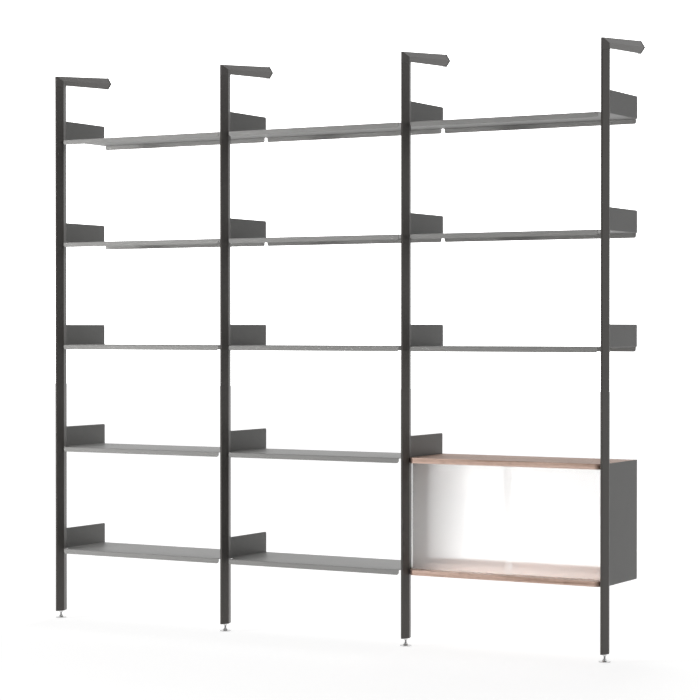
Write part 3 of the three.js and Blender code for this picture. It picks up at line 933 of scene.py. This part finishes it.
def board(name, groove_low, groove_high, groove_width):
    low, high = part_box(name)
    plank = start_plate(name + "_board", (low.x, low.y, low.z), (high.x, high.y, low.z))
    neck = (low.x + neck_setback, high.x - neck_setback)
    shoulder = low.y + shoulder_setback
    for place in neck:
        cut_at((place, 0, low.z), (1, 0, 0))
    cut_at((0, shoulder, low.z), (0, 1, 0))
    pick("FACE", lambda co: co.y < shoulder + near and co.x < neck[0] + near)
    bpy.ops.mesh.delete(type="FACE")
    pick("FACE", lambda co: co.y < shoulder + near and co.x > neck[1] - near)
    bpy.ops.mesh.delete(type="FACE")
    pick("VERT", lambda co: at(co.y, low.y) and (at(co.x, neck[0]) or at(co.x, neck[1])))
    round_off(front_corner, 14, corners=True)
    pick("VERT", lambda co: at(co.y, high.y) and (at(co.x, low.x) or at(co.x, high.x)))
    round_off(rear_corner, 4, corners=True)
    bpy.ops.mesh.select_all(action="SELECT")
    pull(z=high.z - low.z)
    face_outwards()
    for track in door_tracks:
        middle = low.y + track
        plough = start_block("plough", (low.x - past_edge, middle - groove_width / 2, groove_low),
                             (high.x + past_edge, middle + groove_width / 2, groove_high))
        carve(plank, plough)
    return plank


top_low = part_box("cabinet_top_panel")[0]
bottom_low, bottom_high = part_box("cabinet_bottom_panel")
top_board = board("cabinet_top_panel", top_low.z - past_edge, top_low.z + 10 * mm, 5 * mm)
bottom_board = board("cabinet_bottom_panel", bottom_high.z - 5 * mm, bottom_high.z + past_edge, 7 * mm)
print("boards ploughed")

# %% Rebates and arrises
rebate_width = 13.6 * mm
rebate_depth = 2.3 * mm
for start, end in ((bottom_low.x - past_edge, bottom_low.x + rebate_width),
                   (bottom_high.x - rebate_width, bottom_high.x + past_edge)):
    rebate = start_block("rebate_cutter", (start, bottom_low.y + 36 * mm, bottom_low.z - past_edge),
                         (end, bottom_high.y + past_edge, bottom_low.z + rebate_depth))
    carve(bottom_board, rebate)
for plank, node_name in ((top_board, "cabinet_top_panel"), (bottom_board, "cabinet_bottom_panel")):
    open_piece(plank)
    soften(plank, 0.8 * mm, steps=3)
    report(plank)
    hand_over(plank, walnut, "frame", "walnut", node_name)

# %% [markdown]
# ## Cabinet sides
# Each side is a folded steel plate: it turns in at the rear and under the bottom board, and a small
# angle on its inside carries the top board. Its front edge has hooks like a shelf's. The two sides
# are handed, so the same steps run once for each hand, which is safer than mirroring a finished
# plate and turning its faces right way round again.

# %% Folded side
tight_fold = 2.5 * mm
flange_reach = 16 * mm
notch_at_corner = 4.5 * mm
hook_strip = 20 * mm
side_front = plate_front
side_hooks = [deck + hook_rise + step * notch_pitch for step in (0, 1, 5, 6)]


def cabinet_side(node_name, hand):
    low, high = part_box(node_name)
    face = low.x if hand > 0 else high.x
    plate = start_plate(node_name + "_folded", (face, side_front, low.z), (face, high.y, high.z),
                        turn=(0, math.radians(-90 * hand), 0))
    relief_y, relief_z = high.y - notch_at_corner, low.z + notch_at_corner
    cut_at((0, relief_y, 0), (0, 1, 0))
    cut_at((0, 0, relief_z), (0, 0, 1))
    pick("FACE", lambda co: co.y > relief_y - near and co.z < relief_z + near)
    bpy.ops.mesh.delete(type="FACE")
    pick("EDGE", lambda co: at(co.y, high.y))
    pull(x=hand * flange_reach)
    pick("EDGE", lambda co: at(co.z, low.z) and at(co.x, face))
    pull(x=hand * flange_reach)
    pick("EDGE", lambda co: at(co.y, high.y) and at(co.x, face))
    round_off(outer_fold, 6)
    pick("EDGE", lambda co: at(co.z, low.z) and at(co.x, face))
    round_off(tight_fold, 6)
    strip_rear = side_front + hook_strip
    cut_at((0, strip_rear, 0), (0, 1, 0), where=lambda co: at(co.x, face))
    for underside in side_hooks:
        for height in (underside, underside + hook_height):
            cut_at((0, 0, height), (0, 0, 1),
                   where=lambda co: at(co.x, face) and co.y < strip_rear + near)
        hook(face, side_front, underside)
    give_wall(plate, sheet)
    soften(plate, 0.35 * mm)
    return plate


for node_name, hand in (("cabinet_left_side", 1), ("cabinet_right_side", -1)):
    side = cabinet_side(node_name, hand)
    report(side)
    hand_over(side, shelf_coat, "frame", "shelf_paint", node_name)

# %% Ledges under the top board
ledge_top = top_low.z - 0.3 * mm
ledge_front = plate_front + 25 * mm
ledge_height = 28 * mm
for node_name, hand in (("cabinet_left_side", 1), ("cabinet_right_side", -1)):
    low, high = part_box(node_name)
    wall = (low.x if hand > 0 else high.x) + hand * sheet
    tip = wall + hand * (flange_reach - sheet)
    ledge = start_plate(node_name.replace("side", "ledge"),
                        (min(wall, tip), ledge_front, ledge_top),
                        (max(wall, tip), high.y - outer_fold, ledge_top))
    pick("EDGE", lambda co: at(co.x, wall))
    pull(z=-ledge_height)
    pick("EDGE", lambda co: at(co.x, wall) and at(co.z, ledge_top))
    round_off(tight_fold, 6)
    pick("VERT", lambda co: at(co.x, tip))
    round_off(3 * mm, 6, corners=True)
    give_wall(ledge, 1.5 * mm)
    soften(ledge, 0.3 * mm)
    report(ledge)
    hand_over(ledge, shelf_coat, "frame", "shelf_paint")

# %% [markdown]
# ## Sliding doors
# Each door is a pane of ribbed glass with ground edges, and a slim aluminium channel on its outer
# edge, which is what a hand takes hold of. The glass is a block whose edges are chamfered, because a
# perfectly sharp edge on glass would neither be safe nor catch light. The channel is folded like the
# steel plates, only thinner, and its front slants, so that a finger finds it and light does too.

# %% Panes
for node_name in ("door_left_glass", "door_right_glass"):
    low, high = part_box(node_name)
    pane = start_block(node_name + "_pane", low, high)
    soften(pane, 0.5 * mm, steps=1)
    report(pane)
    hand_over(pane, ribbed_glass, node_name.removesuffix("_glass"), "frosted_glass", node_name)

# %% Edge pulls
pull_wall = 1 * mm
finger_rise = 3.2 * mm
for node_name, hand in (("door_left_pull", 1), ("door_right_pull", -1)):
    low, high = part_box(node_name)
    web = low.x if hand > 0 else high.x
    reach_in = hand * (high.x - low.x)
    channel = start_plate(node_name + "_channel", (web, low.y, low.z), (web, high.y, high.z),
                          turn=(0, math.radians(-90 * hand), 0))
    pick("EDGE", lambda co: at(co.y, high.y))
    pull(x=reach_in)
    pick("EDGE", lambda co: at(co.y, low.y))
    shift(y=-finger_rise)
    pull(x=reach_in, y=finger_rise)
    pick("EDGE", lambda co: at(co.x, web) and (at(co.y, low.y - finger_rise) or at(co.y, high.y)))
    round_off(0.7 * mm, 4)
    give_wall(channel, pull_wall)
    soften(channel, 0.2 * mm)
    report(channel)
    hand_over(channel, brushed_aluminium, node_name.removesuffix("_pull"), "satin_aluminium", node_name)

# %% [markdown]
# ## Small screws
# A few screws can be seen from below: one under the wall end of each arm, which clamps it to its
# wall plate, and two in each side's bottom flange, which hold the bottom board. One button head with
# a six-sided socket is turned from a short rod, and the others are copies.

# %% Button-head screw
head_radius = 4.2 * mm
head_height = 2.2 * mm
socket_radius = 1.7 * mm
screw = start_rod("screw_model", (0, 0, 0), head_radius, head_height, 32)
pick("EDGE", lambda co: at(co.z, 0))
round_off(1.4 * mm, 5)
socket = start_rod("socket_cutter", (0, 0, -1 * mm), socket_radius, 2.4 * mm, 6)
carve(screw, socket)
soften(screw, 0.1 * mm, sharper_than=60)
report(screw)

# %% Screws in place
arm_underside = upright_high.z + 21.2 * mm
behind_wall_end = 12 * mm
from_side = 9 * mm
screw_places = {}
for index in (1, 2, 3, 4):
    low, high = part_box(f"upright_{index}")
    screw_places[f"arm_screw_{index}"] = ((low.x + high.x) / 2, arm_end - behind_wall_end, arm_underside)
for side, hand in (("left", 1), ("right", -1)):
    low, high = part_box(f"cabinet_{side}_side")
    middle = (low.x if hand > 0 else high.x) + hand * from_side
    for number, depth in ((1, 60 * mm), (2, 220 * mm)):
        place = (middle, side_front + depth, bottom_low.z - head_height)
        screw_places[f"flange_screw_{side}_{number}"] = place
for name, place in screw_places.items():
    painted = name.startswith("arm")
    hand_over(copy_of(screw, name, place), upright_coat if painted else zinc, "frame",
              "upright_paint" if painted else "zinc_steel")
bpy.data.objects.remove(screw)
print(len(screw_places), "screws")

# %% Finishes on the measured pieces
finish_of = {
    "wall_plate": upright_coat,
    "hanger_strip": zinc,
    "foot_socket": nylon,
    "door_left_glide": nylon,
    "door_right_glide": nylon,
    "cabinet_rear_rail": walnut,
}
left_as_measured = [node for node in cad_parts.values() if not node.hide_render]
for node in left_as_measured:
    start = next(name for name in finish_of if node.name.startswith(name))
    node.data.materials.clear()
    node.data.materials.append(finish_of[start])
print("finishes are on", len(left_as_measured), "measured pieces")
